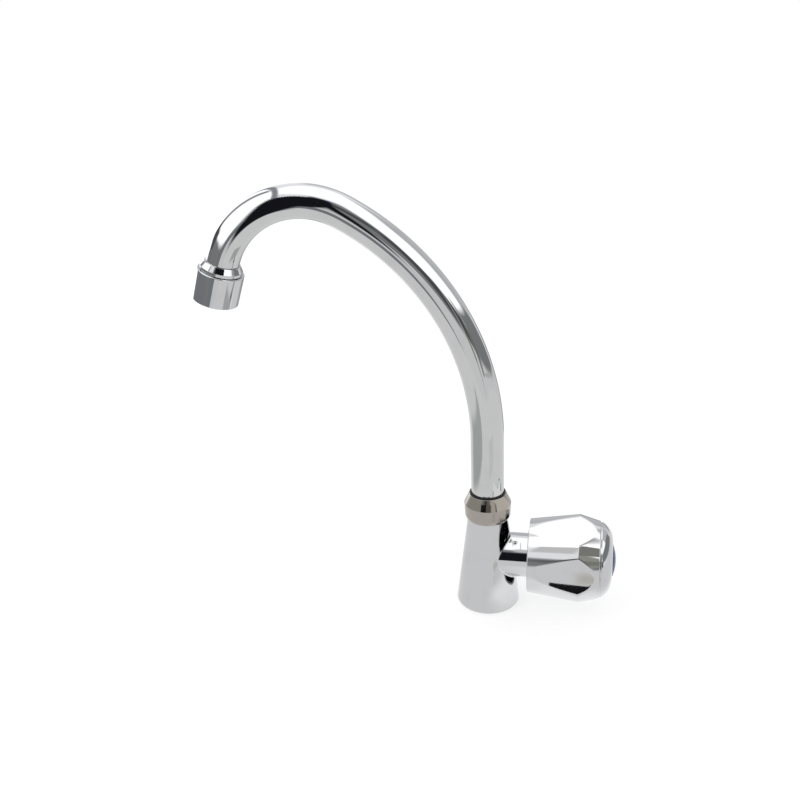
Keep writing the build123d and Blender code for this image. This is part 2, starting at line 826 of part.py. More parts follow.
# Splined insert in the hub of the knob
with BuildPart() as spline_insert:
    with BuildSketch(across_knob(insert_x)):
        Circle(insert_r)
    extrude(amount=insert_end_x - insert_x)
    with BuildSketch(across_knob(insert_x)):
        spline_outline(spline_tip_r + turn_gap, spline_root_r + turn_gap)
    extrude(amount=spline_end_x + turn_gap - insert_x, mode=Mode.SUBTRACT)
    with BuildSketch(across_knob(insert_x)):
        Circle(screw_r + 2 * thread_gap)
    extrude(amount=insert_end_x - insert_x, mode=Mode.SUBTRACT)
spline_insert.part.label = "spline_insert"

# Screw that holds the knob on the spindle
with BuildPart() as handle_screw:
    with BuildSketch(across_knob(insert_end_x)):
        Circle(screw_r)
    extrude(amount=-(insert_wall + screw_reach))
    with BuildSketch(across_knob(insert_end_x)):
        Circle(screw_head_r)
    extrude(amount=screw_head_t)
    fillet(handle_screw.edges().group_by(Axis.X)[-1], screw_head_t / 4)
    with BuildSketch(across_knob(insert_end_x + screw_head_t)):
        Rectangle(screw_cross_len, screw_cross_w)
        Rectangle(screw_cross_w, screw_cross_len)
    extrude(amount=-screw_cross_depth, mode=Mode.SUBTRACT)
handle_screw.part.label = "handle_screw"

# Index cap: a crowned disc with a plug that snaps into the screw's way
with BuildPart() as index_cap:
    with BuildSketch(knob_plane):
        with BuildLine():
            Polyline(
                (cap_top_x, 0),
                (cap_floor_x, 0),
                (cap_floor_x, cap_r),
                (cap_rim_x, cap_r),
            )
            TangentArc((cap_top_x, 0), (cap_rim_x, cap_r), tangent=(0, 1))
        make_face()
    revolve(axis=knob_line)
    with BuildSketch(across_knob(cap_floor_x)):
        Circle(screw_way_r - cap_plug_gap)
        Circle(screw_way_r - cap_plug_gap - cap_plug_wall, mode=Mode.SUBTRACT)
    extrude(amount=-cap_plug_len)
index_cap.part.label = "index_cap"

pieces = [
    body,
    base_seal,
    grub_screws,
    union_nut,
    wiper_ring,
    thrust_washer,
    headwork_housing,
    headwork_gasket,
    seat_seal,
    fixed_disc,
    spout_tube,
    spout_spigot,
    spigot_rings,
    slip_ring,
    outlet_collar,
    aerator_housing,
    aerator_washer,
    aerator_insert,
    aerator_screens,
    outlet_grille,
    moving_disc,
    disc_driver,
    spindle,
    spindle_rings,
    snap_ring,
    knob_shell,
    spline_insert,
    handle_screw,
    index_cap,
]
os.makedirs("parts", exist_ok=True)
for piece in pieces:
    export_step(piece.part, f"parts/{piece.part.label}.step")
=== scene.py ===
# Kitchen tap with a swivel spout and a faceted knob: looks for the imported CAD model
from math import cos, pi, radians, sin

import bpy
import numpy as np
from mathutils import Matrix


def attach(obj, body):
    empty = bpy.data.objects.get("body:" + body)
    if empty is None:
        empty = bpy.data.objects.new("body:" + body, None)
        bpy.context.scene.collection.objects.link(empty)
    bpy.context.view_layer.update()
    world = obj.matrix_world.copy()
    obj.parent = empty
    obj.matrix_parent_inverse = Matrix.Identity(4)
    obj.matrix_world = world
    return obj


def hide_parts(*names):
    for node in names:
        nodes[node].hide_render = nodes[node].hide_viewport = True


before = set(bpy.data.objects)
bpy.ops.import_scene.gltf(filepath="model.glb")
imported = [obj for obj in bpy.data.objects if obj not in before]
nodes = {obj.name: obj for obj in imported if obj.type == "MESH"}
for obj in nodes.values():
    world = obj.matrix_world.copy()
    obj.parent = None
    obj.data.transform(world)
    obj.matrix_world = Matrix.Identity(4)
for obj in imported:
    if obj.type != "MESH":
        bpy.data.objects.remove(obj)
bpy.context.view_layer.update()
scene = bpy.context.scene
scene.view_settings.view_transform = "Standard"
mm = 0.001
print("frame:", len(nodes), "nodes")


# Node helpers
def put(tree, kind, inputs=(), **settings):
    node = tree.nodes.new(kind)
    for key, value in settings.items():
        setattr(node, key, value)
    for key, value in dict(inputs).items():
        if isinstance(value, bpy.types.NodeSocket):
            tree.links.new(value, node.inputs[key])
        else:
            node.inputs[key].default_value = value
    return node


def calc(tree, operation, *values):
    return put(tree, "ShaderNodeMath", enumerate(values), operation=operation).outputs[0]


def dotWith(tree, vector, fixed):
    node = put(tree, "ShaderNodeVectorMath", {0: vector, 1: fixed}, operation="DOT_PRODUCT")
    return node.outputs["Value"]


def blendColour(tree, factor, first, second):
    return put(tree, "ShaderNodeMix", {0: factor, 6: first, 7: second}, data_type="RGBA").outputs[2]


def ramp(tree, value, low, high):  # smooth step from 0 at low to 1 at high
    node = put(tree, "ShaderNodeMapRange", {0: value, 1: low, 2: high}, interpolation_type="SMOOTHSTEP")
    return node.outputs[0]


def noise(tree, place, scale, detail, **settings):
    inputs = {"Vector": place, "Scale": scale, "Detail": detail, **settings}
    return put(tree, "ShaderNodeTexNoise", inputs).outputs[0]


def bareMaterial(name):
    material = bpy.data.materials.new(name)
    material.use_nodes = True
    material.node_tree.nodes.clear()
    return material, material.node_tree


def addObject(name, data):
    thing = bpy.data.objects.new(name, data)
    scene.collection.objects.link(thing)
    return thing


# Camera at the photo's angle
photoView = dict(
    lens=45.0,
    sensor=36.0,
    place=(0.062147, -0.537338, 0.375848),
    turn=(66.42, 2.3731, 10.9865),  # degrees
    nearest=0.01,
)
camera = addObject("photoCamera", bpy.data.cameras.new("photoCamera"))
camera.data.lens = photoView["lens"]
camera.data.sensor_width = photoView["sensor"]
camera.data.clip_start = photoView["nearest"]
camera.location = photoView["place"]
camera.rotation_euler = [radians(turn) for turn in photoView["turn"]]
scene.camera = camera

# Levels of the studio and of the room that the polished metal mirrors
studio = dict(
    plain=0.92,  # lights the object
    seen=1.0,  # backdrop
    wallLevel=(1.22, 1.23, 1.25),
    ceilingLevel=(1.8, 1.8, 1.8),
    white=(1.85, 1.85, 1.85),
    rim=(0.38, 0.39, 0.42),
    shade=(0.10, 0.105, 0.115),
    dim=(0.285, 0.295, 0.295),
    black=(0.012, 0.012, 0.016),
    beyond=(0.26, 0.27, 0.29),
    roomRight=(0.89, 0.89, 0.89),
    behind=(0.40, 0.41, 0.42),
    side=(0.72, 0.73, 0.75),
    horizon=(-4.0, 4.0),  # heights between which the lower room turns into wall
)

# Painted on the room in this order. Directions are (bearing, height) in degrees: bearing 0 is the
# front, 90 the knob's side, -90 the spout's side.
roomPaints = [
    dict(tone="side", corners=[(150, -62), (184, -62), (184, 30), (150, 30)], edge=3),
    dict(tone="side", corners=[(-184, -62), (-138, -62), (-138, -25), (-184, -25)], edge=3),
    dict(tone="side", corners=[(-184, -27), (-164, -27), (-164, 34), (-184, 34)], edge=3),
    dict(tone="behind", corners=[(152, -30), (184, -30), (184, -4), (152, -4)], edge=3),
    dict(tone="behind", corners=[(-184, -30), (-138, -30), (-138, -8), (-184, -8)], edge=3),
    dict(tone="side", corners=[(108, 16), (122, 4), (148, 2), (156, 60), (106, 66)], edge=5),
    dict(tone="white", corners=[(28, 16), (106, 17), (112, 66), (28, 66)], edge=5),  # window right
    dict(tone="ceilingLevel", above=(47.0, 57.0)),
    dict(tone="rim", around=(-89, -6), size=67, edge=1.0),  # frame of the round softbox left
    dict(tone="white", around=(-89, -6), size=62.5, edge=1.0),
    dict(tone="side", corners=[(-124, 6), (-105, 10), (-105, 54), (-124, 50)], edge=3),
    dict(tone="rim", corners=[(-128, -2), (-111, 4), (-111, 52), (-128, 46)], edge=2),
    dict(
        tone="beyond",  # past the table's front edge
        corners=[(-118, -95), (-13, -95), (-13, -13), (-30, -9), (-60, 3), (-118, 3)],
        edge=1.5,
    ),
    dict(tone="dim", corners=[(-30, -18), (-30, -9), (-60, 5), (-88, 12), (-86, 2)], edge=1.5),
    dict(tone="shade", corners=[(-127, 2), (-84, 2), (-84, 13), (-92, 15), (-127, 15)], edge=2),
    dict(tone="white", corners=[(-150, -4), (-106, -4), (-106, 4), (-150, 4)], edge=2),
    dict(tone="rim", corners=[(-12, 32), (34, 30), (22, 47), (-12, 49)], edge=3),
    dict(tone="dim", corners=[(-4, 3), (12, 0), (32, -2), (46, 6), (30, 36), (-9, 48)], edge=3.5),
    dict(tone="shade", corners=[(-9, 27), (16, 22), (24, 33), (-9, 39)], edge=3),
    dict(tone="shade", corners=[(14, 20), (30, 4), (64, -3), (68, 9), (40, 24), (24, 32)], edge=3),
    dict(tone="dim", corners=[(-28, -3), (-9, -3), (-9, 22), (-28, 22)], edge=5),
    dict(tone="shade", corners=[(-20, 12), (-8, 12), (-8, 24), (-20, 24)], edge=3),
    dict(tone="black", corners=[(-9, -8), (0, -6), (2, 35), (-9, 36)], edge=2),
]


def cornerPatch(tree, spot, corners, edge):
    # Inside a convex outline: the product of one smooth step per side, each over the distance from
    # that side, which is the spot's dot product with the side's inward normal plus an offset.
    corners = np.array(corners, float)
    following = np.roll(corners, -1, axis=0)
    side = following - corners
    turn = np.sign((corners[:, 0] * following[:, 1] - corners[:, 1] * following[:, 0]).sum())
    inward = turn * np.stack([-side[:, 1], side[:, 0]], 1) / np.linalg.norm(side, axis=1)[:, None]
    offset = -(inward * corners).sum(1)
    mask = None
    for (nx, ny), c in zip(inward, offset):
        step = ramp(tree, dotWith(tree, spot, (nx, ny, c)), -edge, edge)
        mask = step if mask is None else calc(tree, "MULTIPLY", mask, step)
    return mask


def roundPatch(tree, way, around, size, edge):
    # Inside a cone: a smooth step over the cosine of the angle to its middle.
    a, height = (radians(angle) for angle in around)
    middle = (sin(a) * cos(height), -cos(a) * cos(height), sin(height))
    return ramp(tree, dotWith(tree, way, middle), cos(radians(size + edge)), cos(radians(size - edge)))


def paintMask(tree, way, height, spot, paint):
    if "above" in paint:
        return ramp(tree, height, *paint["above"])
    if "around" in paint:
        return roundPatch(tree, way, paint["around"], paint["size"], paint["edge"])
    return cornerPatch(tree, spot, paint["corners"], paint["edge"])


def rayKinds(tree):  # rays straight from the camera, and rays mirrored or passed on by a surface
    light = put(tree, "ShaderNodeLightPath")
    shiny = calc(tree, "MAXIMUM", light.outputs["Is Glossy Ray"], light.outputs["Is Transmission Ray"])
    return light.outputs["Is Camera Ray"], shiny


def buildWorld():
    world = bpy.data.worlds.new("studio")
    scene.world = world
    world.use_nodes = True
    tree = world.node_tree
    tree.nodes.clear()
    way = put(tree, "ShaderNodeTexCoord").outputs["Generated"]  # the ray's direction, in a world
    x, y, z = put(tree, "ShaderNodeSeparateXYZ", {0: way}).outputs
    turn = calc(tree, "ARCTAN2", x, calc(tree, "MULTIPLY", y, -1.0))
    a = calc(tree, "MULTIPLY", turn, 180 / pi)
    height = calc(tree, "MULTIPLY", calc(tree, "ARCSINE", z), 180 / pi)
    spot = put(tree, "ShaderNodeCombineXYZ", {0: a, 1: height, 2: 1.0}).outputs[0]
    low, high = (*studio["roomRight"], 1.0), (*studio["wallLevel"], 1.0)
    colour = blendColour(tree, ramp(tree, height, *studio["horizon"]), low, high)
    for paint in roomPaints:
        mask = paintMask(tree, way, height, spot, paint)
        colour = blendColour(tree, mask, colour, (*studio[paint["tone"]], 1.0))

    direct, shiny = rayKinds(tree)
    plain = put(tree, "ShaderNodeBackground", {0: (1, 1, 1, 1), 1: studio["plain"]})
    seen = put(tree, "ShaderNodeBackground", {0: (1, 1, 1, 1), 1: studio["seen"]})
    mirrored = put(tree, "ShaderNodeBackground", {0: colour, 1: 1.0})
    first = put(tree, "ShaderNodeMixShader", {0: shiny, 1: plain.outputs[0], 2: mirrored.outputs[0]})
    both = put(tree, "ShaderNodeMixShader", {0: direct, 1: first.outputs[0], 2: seen.outputs[0]})
    put(tree, "ShaderNodeOutputWorld", {0: both.outputs[0]})
    world.cycles.sampling_method = "NONE"


# Pale floor: matt enough to hold the tap's shadow, with a glow that brings it up to the backdrop
floorLook = dict(half=6.0, height=-0.0002, matt=(0.36, 0.36, 0.36, 1), glow=0.70)


def buildFloor():
    half, height = floorLook["half"], floorLook["height"]
    corners = [(-half, -half, height), (half, -half, height), (half, half, height), (-half, half, height)]
    mesh = bpy.data.meshes.new("floor")
    mesh.from_pydata(corners, [], [(0, 1, 2, 3)])
    floor = addObject("floor", mesh)
    material, tree = bareMaterial("paleFloor")
    direct, shiny = rayKinds(tree)
    level = calc(tree, "MULTIPLY", calc(tree, "MAXIMUM", direct, shiny), floorLook["glow"])
    matt = put(tree, "ShaderNodeBsdfDiffuse", {0: floorLook["matt"]})
    glow = put(tree, "ShaderNodeEmission", {0: (1, 1, 1, 1), 1: level})
    both = put(tree, "ShaderNodeAddShader", {0: matt.outputs[0], 1: glow.outputs[0]})
    put(tree, "ShaderNodeOutputMaterial", {0: both.outputs[0]})
    mesh.materials.append(material)
    floor.visible_glossy = False


# Soft key light from the upper left, before the tap
softKey = dict(power=2.2, size=0.9, place=(-0.75, -0.75, 1.0), turn=(48, 0, -45))  # turn in degrees


def buildKey():
    key = addObject("softKey", bpy.data.lights.new("softKey", "AREA"))
    key.data.shape = "DISK"
    key.data.size = softKey["size"]
    key.data.energy = softKey["power"]
    key.location = softKey["place"]
    key.rotation_euler = [radians(turn) for turn in softKey["turn"]]
    key.visible_glossy = False


# Cards near the tap that only its reflections see, in mm. An upright card stands at one x or y, a
# "z" card lies at one height; corners are in its other two axes, in the order x, y, z, and make a
# convex outline.
black, shade, dim = studio["black"], studio["shade"], studio["dim"]
tableGap = [(33, -84), (72, -84), (72, -64), (33, -64)]
gapEdge = 0.6
cardMargin = 1.1  # room round a card's outline, as a share of its faded edge
cards = dict(
    tableTop=dict(
        upright="z", place=0.0, colour=(0.94, 0.935, 0.935), edge=6.0, gap=tableGap,
        corners=[(-500, -400), (900, -400), (900, 240), (-500, 240)],
    ),
    tableNear=dict(
        upright="z", place=0.05, colour=(1.20, 1.21, 1.22), edge=18.0, gap=tableGap,
        corners=[(12, -60), (34, -64), (84, -30), (104, 24), (75, 62), (30, 46)],
    ),
    warmStrip=dict(
        upright="z", place=0.1, colour=(0.74, 0.71, 0.66), edge=6.0, gap=tableGap,
        corners=[(50, -102), (76, -102), (76, -85), (50, -85)],
    ),
    darkShelf=dict(  # under the gap: the black triangle on the knob
        upright="z", place=-60.0, colour=black, edge=1.0,
        corners=[(-8, -222), (62, -218), (62, -165), (-8, -165)],
    ),
    oliveCard=dict(
        upright="y", place=-350, colour=(0.42, 0.42, 0.37), edge=8.0,
        corners=[
            (238, 20), (300, 20), (312, 160), (350, 250), (460, 480), (352, 482), (288, 330), (250, 200),
        ],
    ),
    oliveShade=dict(
        upright="y", place=-349, colour=(0.30, 0.30, 0.25), edge=8.0,
        corners=[(240, 120), (308, 120), (325, 200), (262, 200)],
    ),
    oliveTop=dict(
        upright="y", place=-120, colour=(0.30, 0.30, 0.27), edge=4.0,
        corners=[(129, 132), (178, 132), (240, 300), (196, 300)],
    ),
    darkFlag=dict(  # the crown's black band
        upright="y", place=-60, colour=black, edge=4.0,
        corners=[
            (-134, 198), (-143, 200), (-152, 214), (-156, 240), (-159, 288),
            (-146, 304), (-112, 304), (-118, 238), (-123, 222), (-128, 204),
        ],
    ),
    softFlag=dict(
        upright="y", place=-61, colour=shade, edge=9.0,
        corners=[(-128, 246), (-160, 242), (-168, 288), (-152, 306), (-120, 306)],
    ),
    darkFlagEnd=dict(
        upright="y", place=-60.5, colour=black, edge=3.0,
        corners=[(-124, 234), (-112, 238), (-104, 246), (-92, 262), (-80, 290), (-88, 304), (-120, 304)],
    ),
    sideBoard=dict(
        upright="x", place=950, colour=dim, edge=45.0,
        corners=[(-450, 150), (950, -15), (960, 290), (560, 490), (-450, 505)],
    ),
    greyTop=dict(
        upright="z", place=150, colour=(0.66, 0.67, 0.66), edge=10.0,
        corners=[(72, 5), (102, 12), (124, -5), (116, -40), (86, -58), (56, -50), (56, -15)],
    ),
    nutLeft=dict(
        upright="x", place=-45, colour=(0.57, 0.575, 0.57), edge=6.0,
        corners=[(-90, 62), (8, 62), (8, 108), (-90, 108)],
    ),
    nutRight=dict(
        upright="y", place=-45, colour=(0.84, 0.835, 0.82), edge=3.0,
        corners=[(14, 72), (44, 72), (44, 98), (14, 98)],
    ),
    nutDark=dict(  # the dark stripe on the nut, and its softer half
        upright="y", place=-15.2, colour=black, edge=0.3,
        corners=[(-3.4, 71.0), (0.4, 71.0), (0.5, 75.8), (-4.2, 75.8)],
    ),
    nutShade=dict(
        upright="y", place=-15.3, colour=(0.22, 0.20, 0.18), edge=0.4,
        corners=[(-1.0, 71.0), (4.1, 71.0), (4.8, 75.8), (-1.0, 75.8)],
    ),
    nutLine=dict(
        upright="y", place=-15.2, colour=(0.08, 0.075, 0.07), edge=0.3,
        corners=[(8.6, 71.5), (9.9, 71.5), (12.0, 77.4), (10.6, 77.4)],
    ),
    nutSide=dict(
        upright="x", place=14, colour=(1.08, 1.07, 1.05), edge=0.8,
        corners=[(-18.5, 71.0), (-2.5, 67.5), (-2.5, 77.5), (-18.5, 82.5)],
    ),
    nutFill=dict(
        upright="x", place=19.8, colour=(0.95, 0.94, 0.92), edge=1.6,
        corners=[(-25, 56.8), (-5, 57.2), (-5, 66), (-25, 66)],
    ),
    navyTop=dict(  # above the crown
        upright="y", place=-61, colour=(0.04, 0.045, 0.09), edge=3.0,
        corners=[(-168, 292), (-78, 292), (-78, 310), (-168, 310)],
    ),
)


def buildCard(name, upright, place, colour, edge, corners, gap=None):
    # The mesh is the outline grown from its middle, so that the faded edge has room.
    outline = np.array(corners, float)
    middle = outline.mean(0)
    side = np.roll(outline, -1, axis=0) - outline
    toMiddle = middle - outline
    near = np.abs(side[:, 0] * toMiddle[:, 1] - side[:, 1] * toMiddle[:, 0]) / np.linalg.norm(side, axis=1)
    wide = middle + (outline - middle) * (1 + cardMargin * edge / near.min())
    order = dict(y=(0, 2, 1), x=(2, 0, 1), z=(0, 1, 2))[upright]
    points = np.hstack([wide, np.full((len(wide), 1), float(place))])[:, order]
    mesh = bpy.data.meshes.new(name)
    mesh.from_pydata(points * mm, [], [tuple(range(len(points)))])
    card = addObject(name, mesh)
    material, tree = bareMaterial(name + "Glow")
    split = put(tree, "ShaderNodeSeparateXYZ", {0: put(tree, "ShaderNodeTexCoord").outputs["Object"]})
    u, v = (calc(tree, "MULTIPLY", split.outputs[order.index(k)], 1 / mm) for k in (0, 1))
    spot = put(tree, "ShaderNodeCombineXYZ", {0: u, 1: v, 2: 1.0}).outputs[0]
    mask = cornerPatch(tree, spot, corners, edge)
    if gap:
        closed = calc(tree, "SUBTRACT", 1.0, cornerPatch(tree, spot, gap, gapEdge))
        mask = calc(tree, "MULTIPLY", mask, closed)
    clear = put(tree, "ShaderNodeBsdfTransparent")
    glow = put(tree, "ShaderNodeEmission", {0: (*colour, 1.0), 1: 1.0})
    both = put(tree, "ShaderNodeMixShader", {0: mask, 1: clear.outputs[0], 2: glow.outputs[0]})
    put(tree, "ShaderNodeOutputMaterial", {0: both.outputs[0]})
    mesh.materials.append(material)
    for kind in ("camera", "diffuse", "transmission", "volume_scatter", "shadow"):
        setattr(card, "visible_" + kind, False)


buildWorld()
buildFloor()
buildKey()
for name, values in cards.items():
    buildCard(name, **values)
print("studio ready")


# Finishes: wave is the length of the surface's slow swell in metres, depth the height of its bump,
# brush the number of turning marks to the metre, gloss the specular level
finishes = dict(
    chrome_body=dict(colour=(0.565, 0.57, 0.58), rough=0.035, wave=0.011, depth=3e-6, metal=1.0),
    chrome_tube=dict(colour=(0.565, 0.57, 0.575), rough=0.035, wave=0.016, depth=3e-6, metal=1.0),
    chrome_knob=dict(
        colour=(0.57, 0.575, 0.585), rough=0.03, wave=0.012, depth=3e-6, metal=1.0,
        # painted shade: a darker colour inside the knob's hollow
        hollow=(0.16, 0.16, 0.165),
    ),
    nickel_nut=dict(
        colour=(0.365, 0.340, 0.308), rough=0.12, wave=0.006, depth=3e-6, metal=1.0, brush=1500.0,
    ),
    steel=dict(colour=(0.50, 0.50, 0.51), rough=0.25, wave=0.003, depth=4e-6, metal=1.0, brush=2500.0),
    brass=dict(colour=(0.72, 0.53, 0.24), rough=0.28, wave=0.003, depth=4e-6, metal=1.0, brush=1200.0),
    black_rubber=dict(
        colour=(0.018, 0.018, 0.02), rough=0.5, wave=0.002, depth=1.2e-5, metal=0.0, gloss=0.2,
    ),
    white_plastic=dict(colour=(0.74, 0.74, 0.71), rough=0.42, wave=0.003, depth=6e-6, metal=0.0),
    ceramic=dict(colour=(0.80, 0.79, 0.75), rough=0.15, wave=0.004, depth=2e-6, metal=0.0),
    blue_index=dict(colour=(0.012, 0.05, 0.26), rough=0.12, wave=0.006, depth=4e-6, metal=0.0, gloss=0.12),
)

# Wear on every finish: smudges, dust and fine scuffs inside the smudges. The finishes with a brush
# also carry turning marks. Each spread says between which noise levels it shows.
wear = dict(
    smudge=dict(scale=55.0, detail=4.0, grain=0.6, spread=(0.45, 0.75), tone=0.94, rough=(0.5, 0.015)),
    dust=dict(scale=900.0, detail=3.0, spread=(0.5, 0.8), rough=0.02),
    scuff=dict(turn=(0.4, 0.9, 0.2), scale=(70.0, 70.0, 2600.0), spread=(0.66, 0.72), rough=0.06),
    mark=dict(across=30.0, rough=0.10, height=0.35),
)

# The knob's hollow in metres, which gets painted shade: the middle of its wall at the crease, how it
# closes in behind and ahead of the crease, the inner face of its front wall, and the roughness added inside
knobHollow = dict(
    axisHeight=0.0338, crease=0.0564, creaseRadius=0.0232, behindSlope=0.045, aheadSlope=-0.32,
    frontWall=0.0706, rough=0.4,
)


def paintedShadeInKnob(tree, place):
    # 1 where the distance from the knob's axis is under the middle of its wall and x is behind the
    # front wall: the mask of the painted shade inside the plated knob, which is also made rougher there.
    x, y, z = put(tree, "ShaderNodeSeparateXYZ", {0: place}).outputs
    up = calc(tree, "SUBTRACT", z, knobHollow["axisHeight"])
    squares = calc(tree, "ADD", calc(tree, "MULTIPLY", y, y), calc(tree, "MULTIPLY", up, up))
    away = calc(tree, "SQRT", squares)
    toCrease = calc(tree, "SUBTRACT", x, knobHollow["crease"])
    behind = calc(tree, "MULTIPLY_ADD", toCrease, knobHollow["behindSlope"], knobHollow["creaseRadius"])
    ahead = calc(tree, "MULTIPLY_ADD", toCrease, knobHollow["aheadSlope"], knobHollow["creaseRadius"])
    inner = calc(tree, "LESS_THAN", away, calc(tree, "MINIMUM", behind, ahead))
    return calc(tree, "MULTIPLY", inner, calc(tree, "LESS_THAN", x, knobHollow["frontWall"]))


def buildFinish(slot):
    values = finishes[slot]
    material = bpy.data.materials.new(slot + "Finish")
    material.use_nodes = True
    tree = material.node_tree
    shader = tree.nodes["Principled BSDF"]
    place = put(tree, "ShaderNodeTexCoord").outputs["Object"]

    smudge, dust, scuff, mark = (wear[kind] for kind in ("smudge", "dust", "scuff", "mark"))
    patch = noise(tree, place, smudge["scale"], smudge["detail"], Roughness=smudge["grain"])
    patch = ramp(tree, patch, *smudge["spread"])
    specks = ramp(tree, noise(tree, place, dust["scale"], dust["detail"]), *dust["spread"])
    share, least = smudge["rough"]
    dulled = calc(tree, "MULTIPLY", patch, values["rough"] * share + least)
    rough = calc(tree, "ADD", values["rough"], dulled)
    rough = calc(tree, "ADD", rough, calc(tree, "MULTIPLY", specks, dust["rough"]))
    slanted = {"Vector": place, "Rotation": scuff["turn"], "Scale": scuff["scale"]}
    scratch = noise(tree, put(tree, "ShaderNodeMapping", slanted).outputs[0], 1.0, 1.0)
    scratch = calc(tree, "MULTIPLY", ramp(tree, scratch, *scuff["spread"]), patch)
    rough = calc(tree, "MULTIPLY_ADD", scratch, scuff["rough"], rough)

    height = noise(tree, place, 1 / values["wave"], 2.0)
    if "brush" in values:
        along = {"Vector": place, "Scale": (mark["across"], mark["across"], values["brush"])}
        turning = noise(tree, put(tree, "ShaderNodeMapping", along).outputs[0], 1.0, 2.0)
        rough = calc(tree, "MULTIPLY_ADD", turning, mark["rough"], rough)
        height = calc(tree, "MULTIPLY_ADD", turning, mark["height"], height)
    smudged = tuple(smudge["tone"] * c for c in values["colour"])
    tone = blendColour(tree, patch, (*values["colour"], 1.0), (*smudged, 1.0))
    # painted shade inside the knob's hollow: a darker colour and a rougher finish
    if "hollow" in values:
        shadedPart = paintedShadeInKnob(tree, place)
        tone = blendColour(tree, shadedPart, tone, (*values["hollow"], 1.0))
        rough = calc(tree, "MULTIPLY_ADD", shadedPart, knobHollow["rough"], rough)
    bump = put(tree, "ShaderNodeBump", {"Height": height, "Strength": 1.0, "Distance": values["depth"]})
    tree.links.new(rough, shader.inputs["Roughness"])
    tree.links.new(tone, shader.inputs["Base Color"])
    tree.links.new(bump.outputs[0], shader.inputs["Normal"])
    shader.inputs["Metallic"].default_value = values["metal"]
    shader.inputs["Specular IOR Level"].default_value = values.get("gloss", 0.5)
    return material


finish = {slot: buildFinish(slot) for slot in finishes}
for name, node in nodes.items():
    for place in node.material_slots:
        place.material = finish[place.material.name.split(".")[0]]
print("finishes:", len(finish))


# Surfaces: a closed outline of (radius, height) carried round and along a line, all sizes in mm
def roundOutline(corners, rounds, steps=5, spacing=1.5, least=0.2):
    # Each corner becomes an arc: centre = corner moved along the bisector, and the arc's normal
    # turns evenly from one side's normal to the next one's. Sides are then cut to the spacing,
    # with no cut nearer to a point than the least share of it.
    corners = np.array(corners, float)
    rounds = np.broadcast_to(np.array(rounds, float), len(corners))
    before = corners - np.roll(corners, 1, axis=0)
    after = np.roll(corners, -1, axis=0) - corners
    before /= np.linalg.norm(before, axis=1)[:, None]
    after /= np.linalg.norm(after, axis=1)[:, None]
    turn = np.arctan2(before[:, 0] * after[:, 1] - before[:, 1] * after[:, 0], (before * after).sum(1))
    side = np.where(turn < 0, -1.0, 1.0)  # -1 in a hollow corner
    startAngle = np.arctan2(-before[:, 0], before[:, 1])  # outward normal of the side before
    share = np.linspace(0, 1, steps + 1)
    angle = startAngle[:, None] + turn[:, None] * share
    normals = np.stack([np.cos(angle), np.sin(angle)], -1)
    reach = rounds * np.tan(np.abs(turn) / 2)
    centre = corners - before * reach[:, None] - (side * rounds)[:, None] * normals[:, 0]
    points = centre[:, None] + (side * rounds)[:, None, None] * normals
    points, normals = points.reshape(-1, 2), normals.reshape(-1, 2)
    ring = np.vstack([points, points[:1]])
    run = np.concatenate([[0], np.cumsum(np.linalg.norm(np.diff(ring, axis=0), axis=1))])
    even = np.linspace(0, run[-1], int(run[-1] / spacing) + 2)[1:-1]
    gap = np.abs(even[:, None] - run).min(1)
    cuts = np.sort(np.concatenate([run[:-1], even[gap > spacing * least]]))
    ringNormals = np.vstack([normals, normals[:1]])
    points = np.stack([np.interp(cuts, run, ring[:, k]) for k in (0, 1)], 1)
    normals = np.stack([np.interp(cuts, run, ringNormals[:, k]) for k in (0, 1)], 1)
    return points, normals / np.linalg.norm(normals, axis=1)[:, None]


def straightLine(origin, along, side):
    # Heights map to origin + height * along, and radii start towards side.
    origin, along, side = (np.array(v, float) for v in (origin, along, side))
    across = np.cross(along, side)

    def line(height):
        one = np.ones((len(height), 1))
        return origin + height[:, None] * along, one * along, one * side, one * across

    return line


def gridFaces(rows, columns, closedRows=True):
    # Quads between neighbouring rows and columns. Columns always wrap round, rows where closed.
    i = np.arange(rows if closedRows else rows - 1)[:, None]
    j = np.arange(columns)[None]
    down, right = (i + 1) % rows, (j + 1) % columns
    quads = [i * columns + j, i * columns + right, down * columns + right, down * columns + j]
    return np.stack(quads, -1).reshape(-1, 4)


def poleFans(around, count):
    # Triangles from the first ring to a pole numbered count, and from the last ring to one numbered
    # count + 1. Each repeats its last corner, so that it fits among the quads.
    j = np.arange(around)
    following, zero = (j + 1) % around, 0 * j
    first = np.stack([following, j, zero + count, zero + count], 1)
    final = np.stack([j - around, following - around, zero + 1, zero + 1], 1) + count
    return np.vstack([first, final])


def surfaceObject(name, points, normals, faces, body, slot, replaced):
    # Vertices, faces and normals go in as whole arrays; all faces are turned over if they look
    # inwards. A face that repeats a corner is a triangle.
    points, normals = points.reshape(-1, 3) * mm, normals.reshape(-1, 3)
    a, b, c = (points[faces[:, k]] for k in (0, 1, 2))
    facing = (np.cross(b - a, c - a) * normals[faces[:, 0]]).sum()
    if facing < 0:
        faces = faces[:, ::-1]
    edges = np.ones(faces.shape, bool)
    edges[:, 3] = faces[:, 3] != faces[:, 2]
    edges[:, 0] = faces[:, 0] != faces[:, 1]
    starts = np.concatenate([[0], np.cumsum(edges.sum(1))[:-1]])
    mesh = bpy.data.meshes.new(name)
    mesh.vertices.add(len(points))
    mesh.vertices.foreach_set("co", points.ravel())
    mesh.loops.add(int(edges.sum()))
    mesh.loops.foreach_set("vertex_index", faces[edges])
    mesh.polygons.add(len(faces))
    mesh.polygons.foreach_set("loop_start", starts)
    mesh.polygons.foreach_set("use_smooth", np.ones(len(faces), bool))
    mesh.update(calc_edges=True)
    mesh.validate()
    mesh.normals_split_custom_set_from_vertices(normals)
    mesh.materials.append(finish[slot])
    piece = addObject(name, mesh)
    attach(piece, body)
    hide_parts(*replaced)
    print("piece:", name, len(mesh.polygons), "faces")
    return piece


